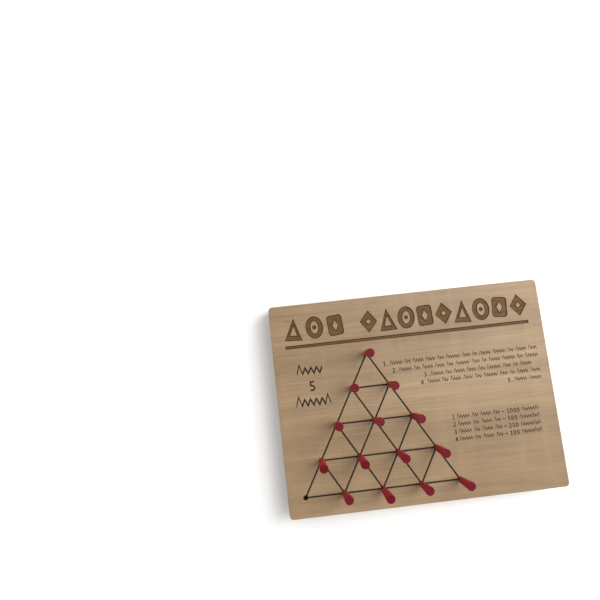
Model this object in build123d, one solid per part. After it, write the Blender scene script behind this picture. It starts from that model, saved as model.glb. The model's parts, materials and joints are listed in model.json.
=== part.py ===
"""Triangular peg solitaire board with peg storage under a turning lid.

A rectangular maple board stands on four rubber feet. Its upper face carries fifteen blind
peg holes in a triangle of five rows, joined by engraved lines, with fourteen red pegs in
them. A round stepped recess in the lower face holds a plywood lid, which turns on one screw
and has a window over the storage hollow, where a second set of black pegs lies.

Millimetres. +Z is up, the origin is on the ground under the board's centre, +Y points to
the edge with the title ornament.
"""

from build123d import *
import os
from math import atan2, cos, degrees, hypot, radians, sin, sqrt

# ---------------------------------------------------------------- driving dimensions

BOARD_X = 203.2
BOARD_Y = 152.4
BOARD_T = 19.05
CORNER_R = 3.0
EDGE_EASE = 0.6

FOOT_H = 3.0
FOOT_R = 5.0
FOOT_INSET = 9.8
FOOT_ROUND = 0.7

HOLE_PITCH = 27.94
HOLE_ROWS = 5
HOLE_R = 1.65
HOLE_DEPTH = 6.0
HOLE_CHAMFER = 0.2
APEX_X = -33.0
APEX_Y = 34.8

LINE_W = 1.2
LINE_DEPTH = 0.4

RECESS_R = 50.8
RECESS_DEPTH = 4.8
CAVITY_R = 43.2
CAVITY_DEPTH = 7.0
POST_R = 7.0
CAVITY_CORNER_R = 3.0
SOLID_SECTOR = 90.0

LID_R = 47.6
LID_T = 3.0
LID_GAP = 0.15
LID_HUB_R = 7.3
WINDOW_ANGLE = 75.0
WINDOW_DIRECTION = -47.0

SCREW_R = 1.75
SCREW_CORE_R = 1.25
SCREW_PITCH = 1.4
SCREW_TURNS = 6
SCREW_HEAD_R = 2.75
SCREW_HEAD_H = 1.5
RUNNING_GAP = 0.08
THREAD_GAP = 0.04
WASHER_R = 3.8
WASHER_T = 0.5
WASHER_GAP = 0.05

PEG_LENGTH = 30.6
PEG_IN_HOLE = 5.8
PEG_TIP_R = 1.05
PEG_SHANK_R = 1.5
PEG_NECK_R = 1.65
PEG_NECK_TOP = 9.6
PEG_BODY_R0 = 2.3
PEG_HEAD_R = 3.1
PEG_RIBS = 5
PEG_GROOVE = 0.22
PEG_HEAD_ROUND = 0.35

TITLE_DEPTH = 0.5
OUTLINE_DEPTH = 0.36
OUTLINE_W = 0.55
TEXT_DEPTH = 0.25

# ---------------------------------------------------------------- derived levels

BACK_Z = FOOT_H
FACE_Z = FOOT_H + BOARD_T
LEDGE_Z = BACK_Z + RECESS_DEPTH
CEILING_Z = LEDGE_Z + CAVITY_DEPTH
LID_TOP_Z = LEDGE_Z - LID_GAP
LID_LOW_Z = LID_TOP_Z - LID_T
ROW_STEP = HOLE_PITCH * sqrt(3) / 2

# Sideways shift of each standing peg's head, as it leans in its loose hole: (x, y) by
# (row, place). Only the corner hole at the bottom left is empty.
EMPTY_HOLE = (4, 0)
HEAD_SHIFT = {
    (0, 0): (-0.9, -0.1),
    (1, 0): (-0.6, 1.4),
    (1, 1): (-0.7, 0.0),
    (2, 0): (-0.4, 1.1),
    (2, 1): (0.0, 1.1),
    (2, 2): (0.3, -0.1),
    (3, 0): (0.2, -1.1),
    (3, 1): (0.3, -1.6),
    (3, 2): (0.3, -0.9),
    (3, 3): (0.0, -0.5),
    (4, 1): (0.7, 1.1),
    (4, 2): (0.5, -1.5),
    (4, 3): (-0.6, 0.7),
    (4, 4): (-0.4, 0.5),
}

# Spare pegs in the storage hollow. Those near the window lie as they fell: (x, y) of the
# middle and the direction of the head in degrees. The others fan out from the post.
LOOSE_SPARES = [
    (26.5, -3.3, -178),
    (24.2, -9.2, -175),
    (22.0, -15.0, -170),
    (25.5, -27.5, -140),
    (4.9, -24.3, 10),
    (-0.4, -34.0, 19),
]
FAN_MIDDLE_R = 26.8
FAN_A = {"start": 82.0, "step": -15.2, "count": 5}
FAN_B = {"start": -132.0, "step": -16.0, "count": 3}
SPARE_Z = (LID_TOP_Z + CEILING_Z) / 2 + 0.1


def hole_centre(row, place):
    """Centre of a peg hole on the playing face."""
    x = APEX_X + (place - row / 2) * HOLE_PITCH
    y = APEX_Y - row * ROW_STEP
    return x, y


def all_holes():
    return [(row, place) for row in range(HOLE_ROWS) for place in range(row + 1)]


# ---------------------------------------------------------------- engraved pattern


def bar(x0, x1, y0, y1):
    """Rectangle between two x and two y values."""
    return Pos((x0 + x1) / 2, (y0 + y1) / 2) * Rectangle(abs(x1 - x0), abs(y1 - y0))


def stroke(start, end, width):
    """Straight groove of constant width with square ends."""
    dx = end[0] - start[0]
    dy = end[1] - start[1]
    middle = Pos((start[0] + end[0]) / 2, (start[1] + end[1]) / 2)
    return middle * Rot(0, 0, degrees(atan2(dy, dx))) * Rectangle(hypot(dx, dy), width)


def lattice():
    """Lines of the triangle, each from one outer hole to the opposite one."""
    last = HOLE_ROWS - 1
    ends = []
    for k in range(1, HOLE_ROWS):
        ends.append(((k, 0), (k, k)))
    for k in range(HOLE_ROWS - 1):
        ends.append(((k, k), (last, k)))
        ends.append(((k, 0), (last, last - k)))
    lines = Sketch()
    for first, second in ends:
        lines += stroke(hole_centre(*first), hole_centre(*second), LINE_W)
    return lines


MARK_H = 16.6
MARK_W = 13.0
MARK_STROKE = 3.7
MARK_DOT_R = 1.5
TITLE_Y = 58.0


def wedge(half_w, low, high, inset):
    """Upright triangle, its sides moved inwards by an inset (outwards if negative)."""
    height = high - low
    side_shift = inset * hypot(half_w, height) / height
    low_half = half_w * (1 - inset / height) - side_shift
    tip = high - side_shift * height / half_w
    return make_face(Polyline((-low_half, low + inset), (low_half, low + inset), (0, tip), close=True))


def lozenge(half_w, half_h, inset):
    """Upright diamond, its sides moved inwards by an inset (outwards if negative)."""
    scale_in = 1 - inset * hypot(half_w, half_h) / (half_w * half_h)
    w = half_w * scale_in
    h = half_h * scale_in
    return make_face(Polyline((-w, 0), (0, -h), (w, 0), (0, h), close=True))


def triangle_mark(inset):
    """Outlined triangle, as tall as the title band."""
    outer = wedge(MARK_W / 2, -MARK_H / 2, MARK_H / 2, inset)
    return outer - wedge(2.6, -MARK_H / 2 + MARK_STROKE, 2.4, -inset)


def oval_mark(inset):
    """Oval ring with a dot."""
    hole_w = MARK_W / 2 - MARK_STROKE + inset
    hole_h = MARK_H / 2 - MARK_STROKE + inset
    ring = Ellipse(MARK_W / 2 - inset, MARK_H / 2 - inset) - Ellipse(hole_w, hole_h)
    return ring + Circle(MARK_DOT_R - inset)


def diamond_mark(inset):
    """Diamond with a round hole."""
    return lozenge(MARK_W / 2, MARK_H / 2, inset) - Circle(MARK_DOT_R + inset)


def tile_mark(inset):
    """Rounded upright tile with a diamond hole."""
    width = MARK_W - 1.6 - 2 * inset
    height = MARK_H - 1.4 - 2 * inset
    tile = RectangleRounded(width, height, 2.4 - inset)
    return tile - lozenge(2.2, 3.8, -inset)


def title_ornament(inset):
    """Two groups of geometric marks, a little tilted in turn, over a thick underline bar."""
    marks = [triangle_mark, oval_mark, tile_mark, diamond_mark]
    tilts = [-4, 3, 5, -3, 2]
    centres = [-84.6 + 15.6 * i for i in range(3)]
    centres += [-28.4 + 14.2 * i for i in range(9)]
    ornament = bar(-91.8 + inset, 91.2 - inset, 43.8 + inset, 46.2 - inset)
    for i, x in enumerate(centres):
        tilt = Rot(0, 0, tilts[i % len(tilts)])
        ornament += Pos(x, TITLE_Y) * tilt * marks[i % len(marks)](inset)
    return ornament


def sector(radius, start, angle):
    """Pie slice from the origin, wider than a radius, from a start direction through an angle."""
    reach = radius * 2.2
    steps = 6
    rim = []
    for i in range(steps + 1):
        a = radians(start + angle * i / steps)
        rim.append((reach * cos(a), reach * sin(a)))
    return make_face(Polyline((0, 0), *rim, close=True))


def arc_band(x, y, radius, weight, start, angle):
    """Part of a ring, for the bowl of a numeral."""
    ring = Circle(radius) - Circle(radius - weight)
    return Pos(x, y) * (ring & sector(radius, start, angle))


def numeral(symbol, h, w):
    """Plain numeral of height h and stroke w, its lower left corner at the origin."""
    if symbol == "0":
        return Pos(0.3 * h, 0.5 * h) * (Ellipse(0.3 * h, 0.5 * h) - Ellipse(0.3 * h - w, 0.5 * h - w))
    if symbol == "1":
        flag = stroke((0.06 * h, 0.80 * h), (0.25 * h + w / 2, 0.96 * h), w * 0.8)
        return bar(0.25 * h, 0.25 * h + w, 0, h) + flag + bar(0.06 * h, 0.46 * h + w, 0, w * 0.7)
    if symbol == "2":
        slope = stroke((0.54 * h, 0.58 * h), (0.06 * h, w / 2), w)
        return arc_band(0.3 * h, 0.7 * h, 0.3 * h, w, -30, 190) + slope + bar(0, 0.58 * h, 0, w)
    if symbol == "3":
        upper = arc_band(0.28 * h, 0.745 * h, 0.255 * h, w, -90, 240)
        return upper + arc_band(0.28 * h, 0.295 * h, 0.295 * h, w, -150, 240)
    if symbol == "4":
        slope = stroke((0.04 * h, 0.28 * h), (0.40 * h + w / 2, 0.97 * h), w)
        return bar(0.40 * h, 0.40 * h + w, 0, h) + bar(0, 0.62 * h, 0.24 * h, 0.24 * h + w) + slope
    bowl = arc_band(0.27 * h, 0.31 * h, 0.31 * h, w, -145, 265)
    return bar(0.10 * h, 0.54 * h, h - w, h) + bar(0.08 * h, 0.08 * h + w, 0.5 * h, h) + bowl


def number(text, height, weight):
    """Whole number, and its width."""
    pitch = height * 0.60 + weight
    shape = Sketch()
    for i, symbol in enumerate(text):
        shape += Pos(i * pitch, 0) * numeral(symbol, height, weight)
    return shape, len(text) * pitch


def scribble(length, height, weight):
    """Zigzag groove that stands in for one word. It starts at the origin on its base line."""
    steps = max(3, round(length / (height * 0.32)))
    points = []
    for i in range(steps + 1):
        tall = 1.0 if i % 7 in (1, 4) else 0.66
        y = height * tall if i % 2 else 0.0
        points.append((length * i / steps, y + weight))
    upper = [(x, y + weight) for x, y in points]
    lower = [(x, y - weight) for x, y in reversed(points)]
    return make_face(Polyline(*upper, *lower, close=True))


def word_row(x0, x1, y, height, weight):
    """Row of scribbled words of changing length between two x values."""
    lengths = [9.5, 4.5, 8.0, 7.0, 5.0, 10.5, 6.0, 3.6, 8.5]
    gap = height * 0.55
    row = Sketch()
    x = x0
    i = 0
    while x1 - x > 3 * gap:
        length = min(lengths[i % len(lengths)], x1 - x)
        if x1 - (x + length) < 3 * gap:
            length = x1 - x
        row += Pos(x, y) * scribble(length, height, weight)
        x += length + gap
        i += 1
    return row


RULE_RIGHT = 94.0
RULE_LEFTS = [-21.6, -15.3, 7.5, 4.3, 68.7]
RULE_TOP_Y = 23.9
RULE_PITCH = 5.45
SCORE_LEFT = 23.6
SCORE_RIGHT = 88.3
SCORE_TOP_Y = -19.9
SCORE_PITCH = 5.3
SCORES = ["1000", "500", "250", "100"]
SMALL_H = 3.3
SMALL_W = 0.58
WORD_H = 3.0


def rule_rows():
    """Five numbered rows of word marks that end on one right margin."""
    rows = Sketch()
    for i, left in enumerate(RULE_LEFTS):
        y = RULE_TOP_Y - i * RULE_PITCH
        digit, width = number(str(i + 1), SMALL_H, SMALL_W)
        start = left + width + 0.6
        rows += Pos(left, y) * digit
        rows += bar(start, start + SMALL_W, y, y + SMALL_W)
        rows += word_row(start + 1.8, RULE_RIGHT, y, WORD_H, SMALL_W)
    return rows


def score_rows():
    """Four rows: a count of pegs, word marks, a dash, points and one more word mark."""
    rows = Sketch()
    for i, points in enumerate(SCORES):
        y = SCORE_TOP_Y - i * SCORE_PITCH
        count, width = number(str(i + 1), SMALL_H, SMALL_W)
        value, value_width = number(points, SMALL_H, SMALL_W)
        dash_x = SCORE_LEFT + 37.0
        value_x = dash_x + 3.6
        rows += Pos(SCORE_LEFT, y) * count
        rows += word_row(SCORE_LEFT + width + 1.0, dash_x - 1.4, y, WORD_H, SMALL_W)
        rows += bar(dash_x, dash_x + 2.0, y + 1.2, y + 1.8)
        rows += Pos(value_x, y) * value
        last_x = value_x + value_width + 1.2
        rows += Pos(last_x, y) * scribble(SCORE_RIGHT - last_x, WORD_H, SMALL_W)
    return rows


def side_block():
    """Large numeral between two larger word marks, left of the triangle."""
    upper = Pos(-85.6, 23.4) * scribble(19.0, 6.6, 1.3)
    middle = Pos(-77.6, 11.8) * numeral("5", 7.4, 1.2)
    lower = Pos(-88.4, 0.6) * scribble(25.6, 6.6, 1.3)
    return upper + middle + lower


def engraving(sketch, depth):
    """Solid that cuts a sketch to a depth below the playing face."""
    return Pos(0, 0, FACE_Z - depth) * extrude(sketch, depth + 1.0)


# ---------------------------------------------------------------- board and lid


def storage_plan():
    """Plan of the storage hollow: a ring around the post, closed by a solid sector."""
    start = WINDOW_DIRECTION + 180 - SOLID_SECTOR / 2
    plan = Circle(CAVITY_R) - Circle(POST_R) - sector(CAVITY_R, start, SOLID_SECTOR)
    return fillet(plan.vertices(), CAVITY_CORNER_R)


def rounded_blank():
    """Board blank with rounded corners and eased edges."""
    blank = extrude(RectangleRounded(BOARD_X, BOARD_Y, CORNER_R), BOARD_T)
    rims = blank.faces().filter_by(Axis.Z).edges()
    return Pos(0, 0, BACK_Z) * fillet(rims, EDGE_EASE)


def peg_hole_cutter():
    """Blind hole with a small chamfer, its mouth at the origin."""
    mouth = HOLE_R + HOLE_CHAMFER
    profile = Polyline(
        (0, -HOLE_DEPTH),
        (HOLE_R, -HOLE_DEPTH),
        (HOLE_R, -HOLE_CHAMFER),
        (mouth, 0),
        (mouth, 1.0),
        (0, 1.0),
        close=True,
    )
    return revolve(Plane.XZ * make_face(profile), Axis.Z)


def make_board():
    board = rounded_blank()
    board -= Pos(0, 0, BACK_Z - 1) * Cylinder(
        RECESS_R, RECESS_DEPTH + 1, align=(Align.CENTER, Align.CENTER, Align.MIN)
    )
    board -= Pos(0, 0, LEDGE_Z - 0.5) * extrude(storage_plan(), CAVITY_DEPTH + 0.5)
    pilot_depth = SCREW_PITCH * SCREW_TURNS + 1.6
    board -= Pos(0, 0, LEDGE_Z - 0.5) * Cylinder(
        SCREW_R + THREAD_GAP, pilot_depth + 0.5, align=(Align.CENTER, Align.CENTER, Align.MIN)
    )
    board -= engraving(title_ornament(0), OUTLINE_DEPTH)
    board -= engraving(title_ornament(OUTLINE_W), TITLE_DEPTH)
    board -= engraving(rule_rows(), TEXT_DEPTH)
    board -= engraving(score_rows(), TEXT_DEPTH)
    board -= engraving(side_block(), TEXT_DEPTH)
    board -= engraving(lattice(), LINE_DEPTH)
    cutter = peg_hole_cutter()
    for place in all_holes():
        x, y = hole_centre(*place)
        board -= Pos(x, y, FACE_Z) * cutter
    return board


def make_lid():
    """Plywood disc with a window that leaves a round hub about the screw."""
    start = WINDOW_DIRECTION - WINDOW_ANGLE / 2
    window = sector(LID_R, start, WINDOW_ANGLE) - Circle(LID_HUB_R)
    plan = Circle(LID_R) - window - Circle(SCREW_R + RUNNING_GAP)
    return Pos(0, 0, LID_LOW_Z) * extrude(plan, LID_T)


def make_washer():
    plan = Circle(WASHER_R) - Circle(SCREW_R + RUNNING_GAP)
    washer = extrude(plan, WASHER_T)
    return Pos(0, 0, LID_LOW_Z - WASHER_GAP - WASHER_T) * washer


def make_screw():
    """Pan head screw, head down, with a ridged shank in the post and a cross recess."""
    seat = LID_LOW_Z - WASHER_GAP - WASHER_T
    bottom = seat - SCREW_HEAD_H
    points = [(SCREW_R, seat), (SCREW_R, LEDGE_Z)]
    for i in range(SCREW_TURNS):
        z = LEDGE_Z + i * SCREW_PITCH
        points.append((SCREW_CORE_R, z + SCREW_PITCH * 0.35))
        points.append((SCREW_CORE_R, z + SCREW_PITCH * 0.65))
        points.append((SCREW_R, z + SCREW_PITCH))
    tip = LEDGE_Z + SCREW_TURNS * SCREW_PITCH + 1.2
    points.append((0.25, tip))
    points.append((0, tip))
    head_edge = (SCREW_HEAD_R, seat - 0.35)
    dome = ThreePointArc((0, bottom), (SCREW_HEAD_R * 0.72, bottom + 0.42), head_edge)
    side = Polyline(head_edge, (SCREW_HEAD_R, seat), *points, (0, bottom))
    screw = revolve(Plane.XZ * make_face([dome, side]), Axis.Z)
    slot = Rectangle(2.6, 0.55) + Rectangle(0.55, 2.6)
    return screw - Pos(0, 0, bottom - 0.2) * extrude(slot, 1.1)


def make_foot():
    """Stick-on rubber foot with its ground face at z = 0."""
    foot = Cylinder(FOOT_R, FOOT_H, align=(Align.CENTER, Align.CENTER, Align.MIN))
    rim = foot.faces().sort_by(Axis.Z)[0].edges()
    return fillet(rim, FOOT_ROUND)


# ---------------------------------------------------------------- pegs


def peg_profile():
    """Half section of a peg from its tip at z = 0 to the head."""
    tip = 0.35
    body_z = PEG_NECK_TOP + 0.7
    head_z = PEG_LENGTH - PEG_HEAD_ROUND
    pitch = (head_z - 1.2 - body_z) / PEG_RIBS
    slope = (PEG_HEAD_R - PEG_BODY_R0) / (head_z - body_z)
    start = Polyline(
        (0, 0),
        (PEG_TIP_R - tip, 0),
        (PEG_TIP_R, tip),
        (PEG_SHANK_R, PEG_IN_HOLE),
        (PEG_NECK_R, PEG_NECK_TOP),
        (PEG_BODY_R0 - PEG_GROOVE, body_z),
    )
    edges = [start]
    for i in range(PEG_RIBS):
        low = body_z + i * pitch
        high = low + pitch
        middle = (low + high) / 2
        low_r = PEG_BODY_R0 + slope * (low - body_z) - PEG_GROOVE
        high_r = PEG_BODY_R0 + slope * (high - body_z) - PEG_GROOVE
        middle_r = PEG_BODY_R0 + slope * (middle - body_z)
        edges.append(ThreePointArc((low_r, low), (middle_r, middle), (high_r, high)))
    last = edges[-1] @ 1
    cap_r = PEG_HEAD_R - PEG_HEAD_ROUND
    ring_depth = 0.2
    ring_out = 1.55
    ring_in = 1.15
    edges.append(Line(last, (PEG_HEAD_R, last.Y + 0.6)))
    edges.append(Line((PEG_HEAD_R, last.Y + 0.6), (PEG_HEAD_R, head_z)))
    edges.append(
        ThreePointArc(
            (PEG_HEAD_R, head_z),
            (cap_r + PEG_HEAD_ROUND * sin(radians(45)), head_z + PEG_HEAD_ROUND * sin(radians(45))),
            (cap_r, PEG_LENGTH),
        )
    )
    edges.append(
        Polyline(
            (cap_r, PEG_LENGTH),
            (ring_out, PEG_LENGTH),
            (ring_out - 0.1, PEG_LENGTH - ring_depth),
            (ring_in + 0.1, PEG_LENGTH - ring_depth),
            (ring_in, PEG_LENGTH),
            (0, PEG_LENGTH),
            (0, 0),
        )
    )
    return make_face(edges)


def make_peg():
    return revolve(Plane.XZ * peg_profile(), Axis.Z)


def peg_tilt(place):
    """Turn that leans a standing peg so that its head shifts by HEAD_SHIFT."""
    dx, dy = HEAD_SHIFT[place]
    height = PEG_LENGTH - PEG_IN_HOLE
    lean = degrees(atan2(hypot(dx, dy), height))
    heading = degrees(atan2(dy, dx))
    return Rot(0, 0, heading) * Rot(0, lean, 0) * Rot(0, 0, -heading)


def standing_peg(place, peg):
    """Peg in its hole. It leans about the middle of the hole's mouth."""
    x, y = hole_centre(*place)
    return Pos(x, y, FACE_Z) * peg_tilt(place) * Pos(0, 0, -PEG_IN_HOLE) * peg


def lying_peg(x, y, heading, peg):
    """Peg on its side in the storage hollow, its head towards the heading."""
    return Pos(x, y, SPARE_Z) * Rot(0, 0, heading) * Rot(0, 90, 0) * Pos(0, 0, -PEG_LENGTH / 2) * peg


def spare_places():
    """Places of all spare pegs: the loose ones, then the two fans."""
    places = list(LOOSE_SPARES)
    for fan in (FAN_A, FAN_B):
        for i in range(fan["count"]):
            heading = fan["start"] + i * fan["step"]
            x = FAN_MIDDLE_R * cos(radians(heading))
            y = FAN_MIDDLE_R * sin(radians(heading))
            places.append((x, y, heading))
    return places


# ---------------------------------------------------------------- assembly


def make_parts():
    parts = {}
    parts["board"] = make_board()
    parts["storage_lid"] = make_lid()
    parts["lid_washer"] = make_washer()
    parts["lid_screw"] = make_screw()

    foot = make_foot()
    foot_x = BOARD_X / 2 - FOOT_INSET
    foot_y = BOARD_Y / 2 - FOOT_INSET
    corners = [(-1, 1), (1, 1), (1, -1), (-1, -1)]
    for i, (sx, sy) in enumerate(corners, start=1):
        parts[f"foot_{i}"] = Pos(sx * foot_x, sy * foot_y, 0) * foot

    peg = make_peg()
    for place in all_holes():
        if place != EMPTY_HOLE:
            row, column = place
            parts[f"red_peg_{row + 1}_{column + 1}"] = standing_peg(place, peg)
    for i, (x, y, heading) in enumerate(spare_places(), start=1):
        parts[f"black_peg_{i:02d}"] = lying_peg(x, y, heading, peg)
    return parts


os.makedirs("parts", exist_ok=True)
for node, shape in make_parts().items():
    shape.label = node
    export_step(shape, f"parts/{node}.step")
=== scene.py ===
"""Looks of the peg solitaire board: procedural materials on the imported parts, floor, light, camera.

Metres. Every CAD node keeps its own mesh. Object coordinates are the row's own coordinates,
because each node's object sits at the origin, so one set of grain directions serves all nodes.
"""

import json
import math

import bpy
from mathutils import Matrix, Vector


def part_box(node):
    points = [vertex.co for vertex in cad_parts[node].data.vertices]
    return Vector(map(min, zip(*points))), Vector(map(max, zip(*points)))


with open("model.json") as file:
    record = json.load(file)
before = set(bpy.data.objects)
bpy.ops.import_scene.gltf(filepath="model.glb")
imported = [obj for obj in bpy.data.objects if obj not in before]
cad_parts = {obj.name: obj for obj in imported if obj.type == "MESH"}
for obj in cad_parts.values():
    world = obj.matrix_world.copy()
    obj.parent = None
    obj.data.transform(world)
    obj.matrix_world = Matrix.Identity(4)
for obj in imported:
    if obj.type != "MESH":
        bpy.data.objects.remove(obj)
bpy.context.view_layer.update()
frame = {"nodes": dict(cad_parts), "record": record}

board_low, board_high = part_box("board")
lid_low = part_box("storage_lid")[0]
FACE_Z = board_high[2]
BACK_Z = board_low[2]
HALF_X = board_high[0]
HALF_Y = board_high[1]

# Depths below the playing face, in metres, that tell the cuts apart.
CUT_TOP = 0.00004
CUT_FLOOR = 0.00068
TITLE_TOP = 0.00046
TITLE_FLOOR = 0.00054
PEG_HOLE_FLOOR = 0.0061
HOLLOW_CEILING = 0.0065
RIM_INSET = 0.002
END_SKIN = 0.001
PLY_T = 0.001

# ---------------------------------------------------------------- node graph helpers


def linear(red, green, blue):
    """Linear colour from 0 to 255 display values."""

    def one(value):
        value = value / 255
        return value / 12.92 if value <= 0.04045 else ((value + 0.055) / 1.055) ** 2.4

    return (one(red), one(green), one(blue), 1.0)


class Graph:
    """A node material with one Principled shader, and short calls that add nodes to it."""

    def __init__(self, name):
        self.material = bpy.data.materials.new(name)
        self.material.use_nodes = True
        self.tree = self.material.node_tree
        self.tree.nodes.clear()
        self.shader = self.tree.nodes.new("ShaderNodeBsdfPrincipled")
        output = self.tree.nodes.new("ShaderNodeOutputMaterial")
        self.tree.links.new(self.shader.outputs["BSDF"], output.inputs["Surface"])
        self.object_coords = self.tree.nodes.new("ShaderNodeTexCoord").outputs["Object"]
        self.normal = self.tree.nodes.new("ShaderNodeNewGeometry").outputs["Normal"]

    def put(self, socket, value):
        """Link a socket to an output, or set its own value."""
        if isinstance(value, bpy.types.NodeSocket):
            self.tree.links.new(value, socket)
        else:
            socket.default_value = value

    def math(self, operation, first, second=0.0):
        node = self.tree.nodes.new("ShaderNodeMath")
        node.operation = operation
        self.put(node.inputs[0], first)
        self.put(node.inputs[1], second)
        return node.outputs[0]

    def split(self, vector):
        node = self.tree.nodes.new("ShaderNodeSeparateXYZ")
        self.put(node.inputs[0], vector)
        return node.outputs

    def stretched(self, scale, turn=(0.0, 0.0, 0.0)):
        """Object coordinates turned (degrees) and scaled."""
        node = self.tree.nodes.new("ShaderNodeMapping")
        node.inputs["Rotation"].default_value = [math.radians(a) for a in turn]
        node.inputs["Scale"].default_value = scale
        self.put(node.inputs["Vector"], self.object_coords)
        return node.outputs[0]

    def noise(self, vector, scale=1.0, detail=3.0, roughness=0.5, distortion=0.0):
        node = self.tree.nodes.new("ShaderNodeTexNoise")
        self.put(node.inputs["Vector"], vector)
        node.inputs["Scale"].default_value = scale
        node.inputs["Detail"].default_value = detail
        node.inputs["Roughness"].default_value = roughness
        node.inputs["Distortion"].default_value = distortion
        return node.outputs["Fac"]

    def span(self, value, low, high, to_low=0.0, to_high=1.0):
        """Clamped linear map from one range to another."""
        node = self.tree.nodes.new("ShaderNodeMapRange")
        node.clamp = True
        self.put(node.inputs["Value"], value)
        node.inputs["From Min"].default_value = low
        node.inputs["From Max"].default_value = high
        node.inputs["To Min"].default_value = to_low
        node.inputs["To Max"].default_value = to_high
        return node.outputs["Result"]

    def mix(self, factor, first, second):
        node = self.tree.nodes.new("ShaderNodeMix")
        node.data_type = "RGBA"
        self.put(node.inputs["Factor"], factor)
        self.put(node.inputs[6], first)
        self.put(node.inputs[7], second)
        return node.outputs[2]

    def bump(self, height, distance, strength=1.0, under=None):
        node = self.tree.nodes.new("ShaderNodeBump")
        node.inputs["Strength"].default_value = strength
        node.inputs["Distance"].default_value = distance
        self.put(node.inputs["Height"], height)
        if under is not None:
            self.put(node.inputs["Normal"], under)
        return node.outputs[0]

    def inside(self, value, low, high, soft=0.00003):
        """1 where a value lies between two limits."""
        above = self.span(value, low - soft, low + soft)
        below = self.span(value, high - soft, high + soft, 1.0, 0.0)
        return self.math("MULTIPLY", above, below)


# ---------------------------------------------------------------- wood


def wood_base(graph, light, middle, dark, turn=(0.0, 0.0, 0.0), contrast=1.0):
    """Colour and height of fine-grained pale wood whose fibres run along X after a turn."""
    bands = graph.noise(graph.stretched((5.0, 70.0, 70.0), turn), 1.0, 3.0, 0.55, 0.6)
    fibres = graph.noise(graph.stretched((26.0, 1300.0, 1300.0), turn), 1.0, 3.0, 0.6)
    ripple = graph.noise(graph.stretched((95.0, 16.0, 16.0), turn), 1.0, 2.0, 0.5, 0.3)
    cloud = graph.noise(graph.stretched((11.0, 17.0, 17.0), turn), 1.0, 2.0, 0.5)
    flecks = graph.noise(graph.stretched((520.0, 4200.0, 4200.0), turn), 1.0, 1.0, 0.5)

    colour = graph.mix(graph.span(bands, 0.33, 0.66), light, middle)
    colour = graph.mix(graph.span(cloud, 0.45, 0.75, 0.0, 0.35 * contrast), colour, dark)
    colour = graph.mix(graph.span(fibres, 0.40, 0.72, 0.0, 0.30 * contrast), colour, dark)
    colour = graph.mix(graph.span(ripple, 0.50, 0.70, 0.0, 0.16 * contrast), colour, light)
    colour = graph.mix(graph.span(flecks, 0.66, 0.76, 0.0, 0.40 * contrast), colour, dark)
    fibre_part = graph.math("MULTIPLY", fibres, 0.7)
    fleck_part = graph.math("MULTIPLY", flecks, 0.3)
    return colour, graph.math("ADD", fibre_part, fleck_part)


def mineral_streaks(graph, colour, streak):
    """Sparse reddish-brown streaks and pin flecks, as maple has."""
    where = graph.noise(graph.stretched((34.0, 210.0, 210.0)), 1.0, 1.5, 0.5, 1.2)
    patch = graph.noise(graph.stretched((9.0, 11.0, 11.0)), 1.0, 1.0)
    mask = graph.math(
        "MULTIPLY", graph.span(where, 0.70, 0.78), graph.span(patch, 0.48, 0.62, 0.0, 0.55)
    )
    return graph.mix(mask, colour, streak)


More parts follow.
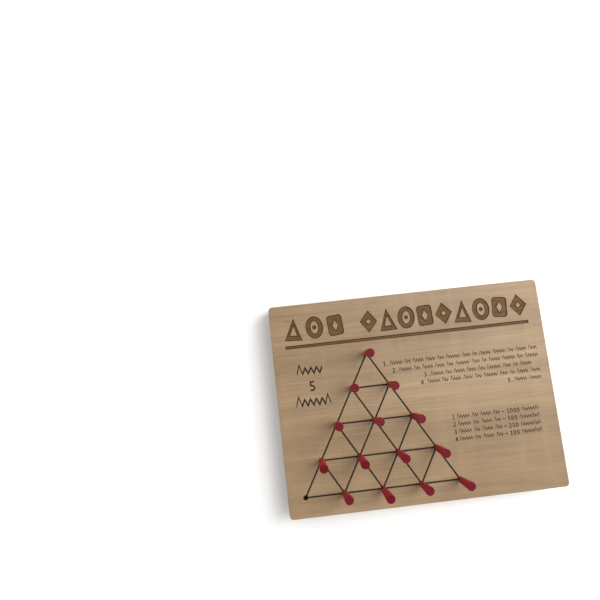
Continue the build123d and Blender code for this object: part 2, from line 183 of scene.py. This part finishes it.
def maple_material():
    """Solid maple of the board, with burnt engraving on its face and bare routed hollows."""
    graph = Graph("maple_board")
    light = linear(152, 127, 94)
    middle = linear(133, 108, 76)
    dark = linear(104, 79, 51)
    colour, height = wood_base(graph, light, middle, dark, contrast=1.4)
    colour = mineral_streaks(graph, colour, linear(98, 66, 42))

    x, y, z = graph.split(graph.object_coords)
    normal_z = graph.split(graph.normal)[2]
    flat = graph.math("ABSOLUTE", normal_z)
    wall = graph.span(flat, 0.3, 0.6, 1.0, 0.0)
    within_x = graph.math("LESS_THAN", graph.math("ABSOLUTE", x), HALF_X - RIM_INSET)
    within_y = graph.math("LESS_THAN", graph.math("ABSOLUTE", y), HALF_Y - RIM_INSET)
    within = graph.math("MULTIPLY", within_x, within_y)

    # End grain on the short sides.
    end = graph.span(graph.math("ABSOLUTE", graph.split(graph.normal)[0]), 0.6, 0.9)
    at_end = graph.math("GREATER_THAN", graph.math("ABSOLUTE", x), HALF_X - END_SKIN)
    end = graph.math("MULTIPLY", end, at_end)
    rays = graph.noise(graph.stretched((300.0, 900.0, 2600.0)), 1.0, 2.0, 0.6)
    end_light = linear(158, 130, 98)
    end_dark = linear(118, 90, 62)
    end_colour = graph.mix(graph.span(rays, 0.35, 0.7), end_light, end_dark)
    colour = graph.mix(graph.math("MULTIPLY", end, 0.7), colour, end_colour)

    # Routed hollow of the underside: fresh cut, a little lighter, with faint cutter rings.
    squares = graph.math("ADD", graph.math("MULTIPLY", x, x), graph.math("MULTIPLY", y, y))
    radius = graph.math("SQRT", squares)
    above_back = BACK_Z + 0.0002
    hollow = graph.math("MULTIPLY", graph.inside(z, above_back, FACE_Z - HOLLOW_CEILING), within)
    rings = graph.math("SINE", graph.math("MULTIPLY", radius, 5200.0))
    fresh_light = linear(206, 184, 142)
    fresh_dark = linear(178, 150, 108)
    hollow_colour = graph.mix(graph.span(rings, -1.0, 1.0, 0.0, 0.25), fresh_light, fresh_dark)
    colour = graph.mix(graph.math("MULTIPLY", hollow, 0.6), colour, hollow_colour)

    # Burnt engraving: the title's floor is golden brown, and every other cut is dark.
    depth = graph.math("SUBTRACT", FACE_Z, z)
    engraved = graph.math("MULTIPLY", graph.inside(depth, CUT_TOP, CUT_FLOOR, 0.00002), within)
    char = graph.noise(graph.stretched((900.0, 900.0, 900.0)), 1.0, 3.0, 0.7)
    toast = graph.noise(graph.stretched((60.0, 420.0, 420.0)), 1.0, 3.0, 0.6)
    scorch_dark = graph.mix(char, linear(22, 8, 3), linear(38, 17, 8))
    scorch_gold = graph.mix(graph.span(toast, 0.35, 0.7), linear(98, 67, 23), linear(74, 48, 16))
    title_floor = graph.inside(depth, TITLE_TOP, TITLE_FLOOR, 0.00001)
    title_floor = graph.math("MULTIPLY", title_floor, graph.math("SUBTRACT", 1.0, wall))
    burnt = graph.mix(title_floor, scorch_dark, scorch_gold)
    colour = graph.mix(engraved, colour, burnt)

    # Peg holes: dark tube walls.
    holes = graph.math("MULTIPLY", graph.inside(depth, CUT_FLOOR, PEG_HOLE_FLOOR), within)
    colour = graph.mix(graph.math("MULTIPLY", holes, 0.8), colour, linear(58, 36, 21))

    graph.put(graph.shader.inputs["Base Color"], colour)
    rough = graph.span(height, 0.3, 0.8, 0.42, 0.62)
    rough = graph.math("MAXIMUM", rough, graph.math("MULTIPLY", engraved, 0.85))
    graph.put(graph.shader.inputs["Roughness"], rough)
    fine = graph.bump(height, 0.00012, 0.5)
    graph.put(graph.shader.inputs["Normal"], graph.bump(char, 0.0001, 0.25, fine))
    return graph.material


def plywood_material():
    """Birch plywood of the lid: diagonal face grain, and laser-cut edges with plies."""
    graph = Graph("birch_ply_lid")
    turn = (0.0, 0.0, 58.0)
    light = linear(204, 184, 146)
    middle = linear(190, 168, 128)
    dark = linear(158, 130, 90)
    colour, height = wood_base(graph, light, middle, dark, turn, 0.8)
    z = graph.split(graph.object_coords)[2]
    flat = graph.math("ABSOLUTE", graph.split(graph.normal)[2])
    edge = graph.span(flat, 0.3, 0.6, 1.0, 0.0)
    height_in_lid = graph.math("SUBTRACT", z, lid_low[2])
    ply = graph.math("FRACT", graph.math("DIVIDE", height_in_lid, PLY_T))
    layers = graph.inside(ply, 0.42, 0.58, 0.05)
    burnt = graph.mix(layers, linear(92, 58, 30), linear(56, 32, 16))
    colour = graph.mix(edge, colour, burnt)
    graph.put(graph.shader.inputs["Base Color"], colour)
    graph.put(graph.shader.inputs["Roughness"], graph.span(height, 0.3, 0.8, 0.5, 0.66))
    graph.put(graph.shader.inputs["Normal"], graph.bump(height, 0.0001, 0.5))
    return graph.material


# ---------------------------------------------------------------- plastic, rubber, metal


def peg_material(name, body, worn, painted_top_shade, roughness, scuff):
    """Moulded plastic with slight unevenness, scuffs and an orange-peel skin, plus painted shade:
    faces that point up get a darker colour.
    """
    graph = Graph(name)
    uneven = graph.noise(graph.stretched((140.0, 140.0, 140.0)), 1.0, 2.0)
    scratches = graph.noise(graph.stretched((600.0, 2400.0, 900.0), (20.0, 35.0, 0.0)), 1.0, 2.0, 0.6)
    colour = graph.mix(graph.span(uneven, 0.35, 0.7, 0.0, 0.5), body, worn)
    colour = graph.mix(graph.span(scratches, 0.62, 0.74, 0.0, scuff), colour, worn)
    # Painted shade: the up-facing peg tops take the darker third colour, which stands in for tops
    # that get less light than the sides.
    painted_top_shade_mask = graph.span(graph.split(graph.normal)[2], 0.75, 0.9)
    colour = graph.mix(painted_top_shade_mask, colour, painted_top_shade)
    graph.put(graph.shader.inputs["Base Color"], colour)
    graph.shader.inputs["Specular IOR Level"].default_value = 0.16
    rough = graph.span(scratches, 0.4, 0.75, roughness, roughness + 0.2)
    graph.put(graph.shader.inputs["Roughness"], rough)
    skin = graph.noise(graph.stretched((1500.0, 1500.0, 1500.0)), 1.0, 2.0)
    graph.put(graph.shader.inputs["Normal"], graph.bump(skin, 0.00006, 0.35))
    return graph.material


def rubber_material():
    graph = Graph("foot_rubber")
    grit = graph.noise(graph.stretched((2600.0, 2600.0, 2600.0)), 1.0, 3.0, 0.7)
    dust = graph.noise(graph.stretched((260.0, 260.0, 260.0)), 1.0, 3.0, 0.6)
    colour = graph.mix(graph.span(dust, 0.5, 0.75, 0.0, 0.35), linear(24, 23, 25), linear(62, 60, 60))
    graph.put(graph.shader.inputs["Base Color"], colour)
    graph.put(graph.shader.inputs["Roughness"], graph.span(grit, 0.3, 0.7, 0.72, 0.92))
    graph.put(graph.shader.inputs["Normal"], graph.bump(grit, 0.00015, 0.6))
    return graph.material


def steel_material():
    graph = Graph("screw_steel")
    brushed = graph.noise(graph.stretched((900.0, 900.0, 6000.0)), 1.0, 3.0, 0.6)
    tarnish = graph.noise(graph.stretched((700.0, 700.0, 700.0)), 1.0, 2.0)
    bright = linear(186, 192, 198)
    dull = linear(124, 130, 136)
    colour = graph.mix(graph.span(tarnish, 0.4, 0.7, 0.0, 0.6), bright, dull)
    graph.put(graph.shader.inputs["Base Color"], colour)
    graph.shader.inputs["Metallic"].default_value = 1.0
    graph.put(graph.shader.inputs["Roughness"], graph.span(brushed, 0.3, 0.7, 0.2, 0.38))
    graph.put(graph.shader.inputs["Normal"], graph.bump(brushed, 0.00004, 0.4))
    return graph.material


def nylon_material():
    graph = Graph("washer_nylon")
    haze = graph.noise(graph.stretched((1200.0, 1200.0, 1200.0)), 1.0, 2.0)
    colour = graph.mix(haze, linear(232, 222, 198), linear(214, 200, 170))
    graph.put(graph.shader.inputs["Base Color"], colour)
    graph.put(graph.shader.inputs["Roughness"], graph.span(haze, 0.3, 0.7, 0.35, 0.5))
    graph.shader.inputs["Subsurface Weight"].default_value = 0.15
    graph.shader.inputs["Subsurface Scale"].default_value = 0.001
    return graph.material


def assign(node, material):
    """Give one material to all slots of a CAD node."""
    slots = frame["nodes"][node].material_slots
    for slot in slots:
        slot.material = material


MATERIALS = {
    "maple": maple_material(),
    "birch_ply": plywood_material(),
    # The third colour of each peg material is painted shade for the peg tops.
    "red_plastic": peg_material(
        "peg_red", linear(134, 16, 30), linear(152, 32, 46), linear(90, 2, 18), 0.34, 0.3
    ),
    "black_plastic": peg_material(
        "peg_black", linear(17, 17, 20), linear(48, 50, 54), linear(14, 14, 16), 0.26, 0.30
    ),
    "rubber": rubber_material(),
    "steel": steel_material(),
    "nylon": nylon_material(),
}
for part in frame["record"]["subparts"]:
    assign(part["node"], MATERIALS[part["material_slot"]])

# ---------------------------------------------------------------- floor, light, camera


def make_floor():
    size = 6.0
    mesh = bpy.data.meshes.new("floor")
    half = size / 2
    corners = [(-half, -half, 0), (half, -half, 0), (half, half, 0), (-half, half, 0)]
    mesh.from_pydata(corners, [], [(0, 1, 2, 3)])
    floor = bpy.data.objects.new("floor", mesh)
    bpy.context.scene.collection.objects.link(floor)
    graph = Graph("floor_paper")
    tint = graph.noise(graph.stretched((3.0, 3.0, 3.0)), 1.0, 2.0)
    paper = graph.mix(tint, linear(250, 250, 250), linear(246, 246, 246))
    graph.put(graph.shader.inputs["Base Color"], paper)
    graph.shader.inputs["Roughness"].default_value = 0.9
    mesh.materials.append(graph.material)


def area_light(name, place, target, size, power, colour=(1.0, 1.0, 1.0)):
    data = bpy.data.lights.new(name, "AREA")
    data.shape = "DISK"
    data.size = size
    data.energy = power
    data.color = colour
    light = bpy.data.objects.new(name, data)
    light.location = place
    direction = Vector(target) - Vector(place)
    light.rotation_euler = direction.to_track_quat("-Z", "Y").to_euler()
    bpy.context.scene.collection.objects.link(light)


def make_lights():
    """A high light and a window on the right, a low bounce, and a room dimmer overhead."""
    area_light("key", (0.22, 0.05, 0.80), (0.0, 0.0, 0.0), 0.42, 2.2, (1.0, 0.985, 0.96))
    area_light("window", (0.42, 0.20, 0.50), (0.06, 0.02, 0.0), 0.60, 4.2, (1.0, 0.99, 0.97))
    area_light("bounce", (-0.55, 0.45, 0.30), (0.0, 0.0, 0.02), 0.5, 0.4)
    world = bpy.data.worlds.new("studio")
    world.use_nodes = True
    tree = world.node_tree
    direction = tree.nodes.new("ShaderNodeTexCoord").outputs["Generated"]
    axes = tree.nodes.new("ShaderNodeSeparateXYZ")
    tree.links.new(direction, axes.inputs[0])
    strength = tree.nodes.new("ShaderNodeMapRange")
    strength.inputs["From Min"].default_value = 0.0
    strength.inputs["From Max"].default_value = 1.0
    strength.inputs["To Min"].default_value = 1.10
    strength.inputs["To Max"].default_value = 0.42
    tree.links.new(axes.outputs[2], strength.inputs["Value"])
    background = tree.nodes["Background"]
    background.inputs["Color"].default_value = (1.0, 1.0, 1.0, 1.0)
    tree.links.new(strength.outputs["Result"], background.inputs["Strength"])
    bpy.context.scene.world = world


CAMERA_HEIGHT = 0.40197
BOARD_OFFSET = (0.09374, -0.02251)
BOARD_TURN = 0.1097
CAMERA_TILT = (-0.1258, 0.0216)
LENS_PER_WIDTH = 513.3 / 600.0


def make_camera():
    """Camera nearly overhead. The board lies turned and to the lower right of its axis."""
    data = bpy.data.cameras.new("camera")
    data.sensor_width = 36.0
    data.lens = data.sensor_width * LENS_PER_WIDTH
    data.clip_start = 0.01
    camera = bpy.data.objects.new("camera", data)
    axis = Vector((CAMERA_TILT[0], CAMERA_TILT[1], 0.0))
    tilt = Matrix.Rotation(axis.length, 3, axis.normalized()).transposed()
    turn = Matrix.Rotation(-BOARD_TURN, 3, "Z")
    place = turn @ Vector((-BOARD_OFFSET[0], -BOARD_OFFSET[1], CAMERA_HEIGHT))
    camera.matrix_world = Matrix.Translation(place) @ (turn @ tilt).to_4x4()
    bpy.context.scene.collection.objects.link(camera)
    bpy.context.scene.camera = camera


make_floor()
make_lights()
make_camera()
bpy.context.scene.view_settings.view_transform = "Standard"
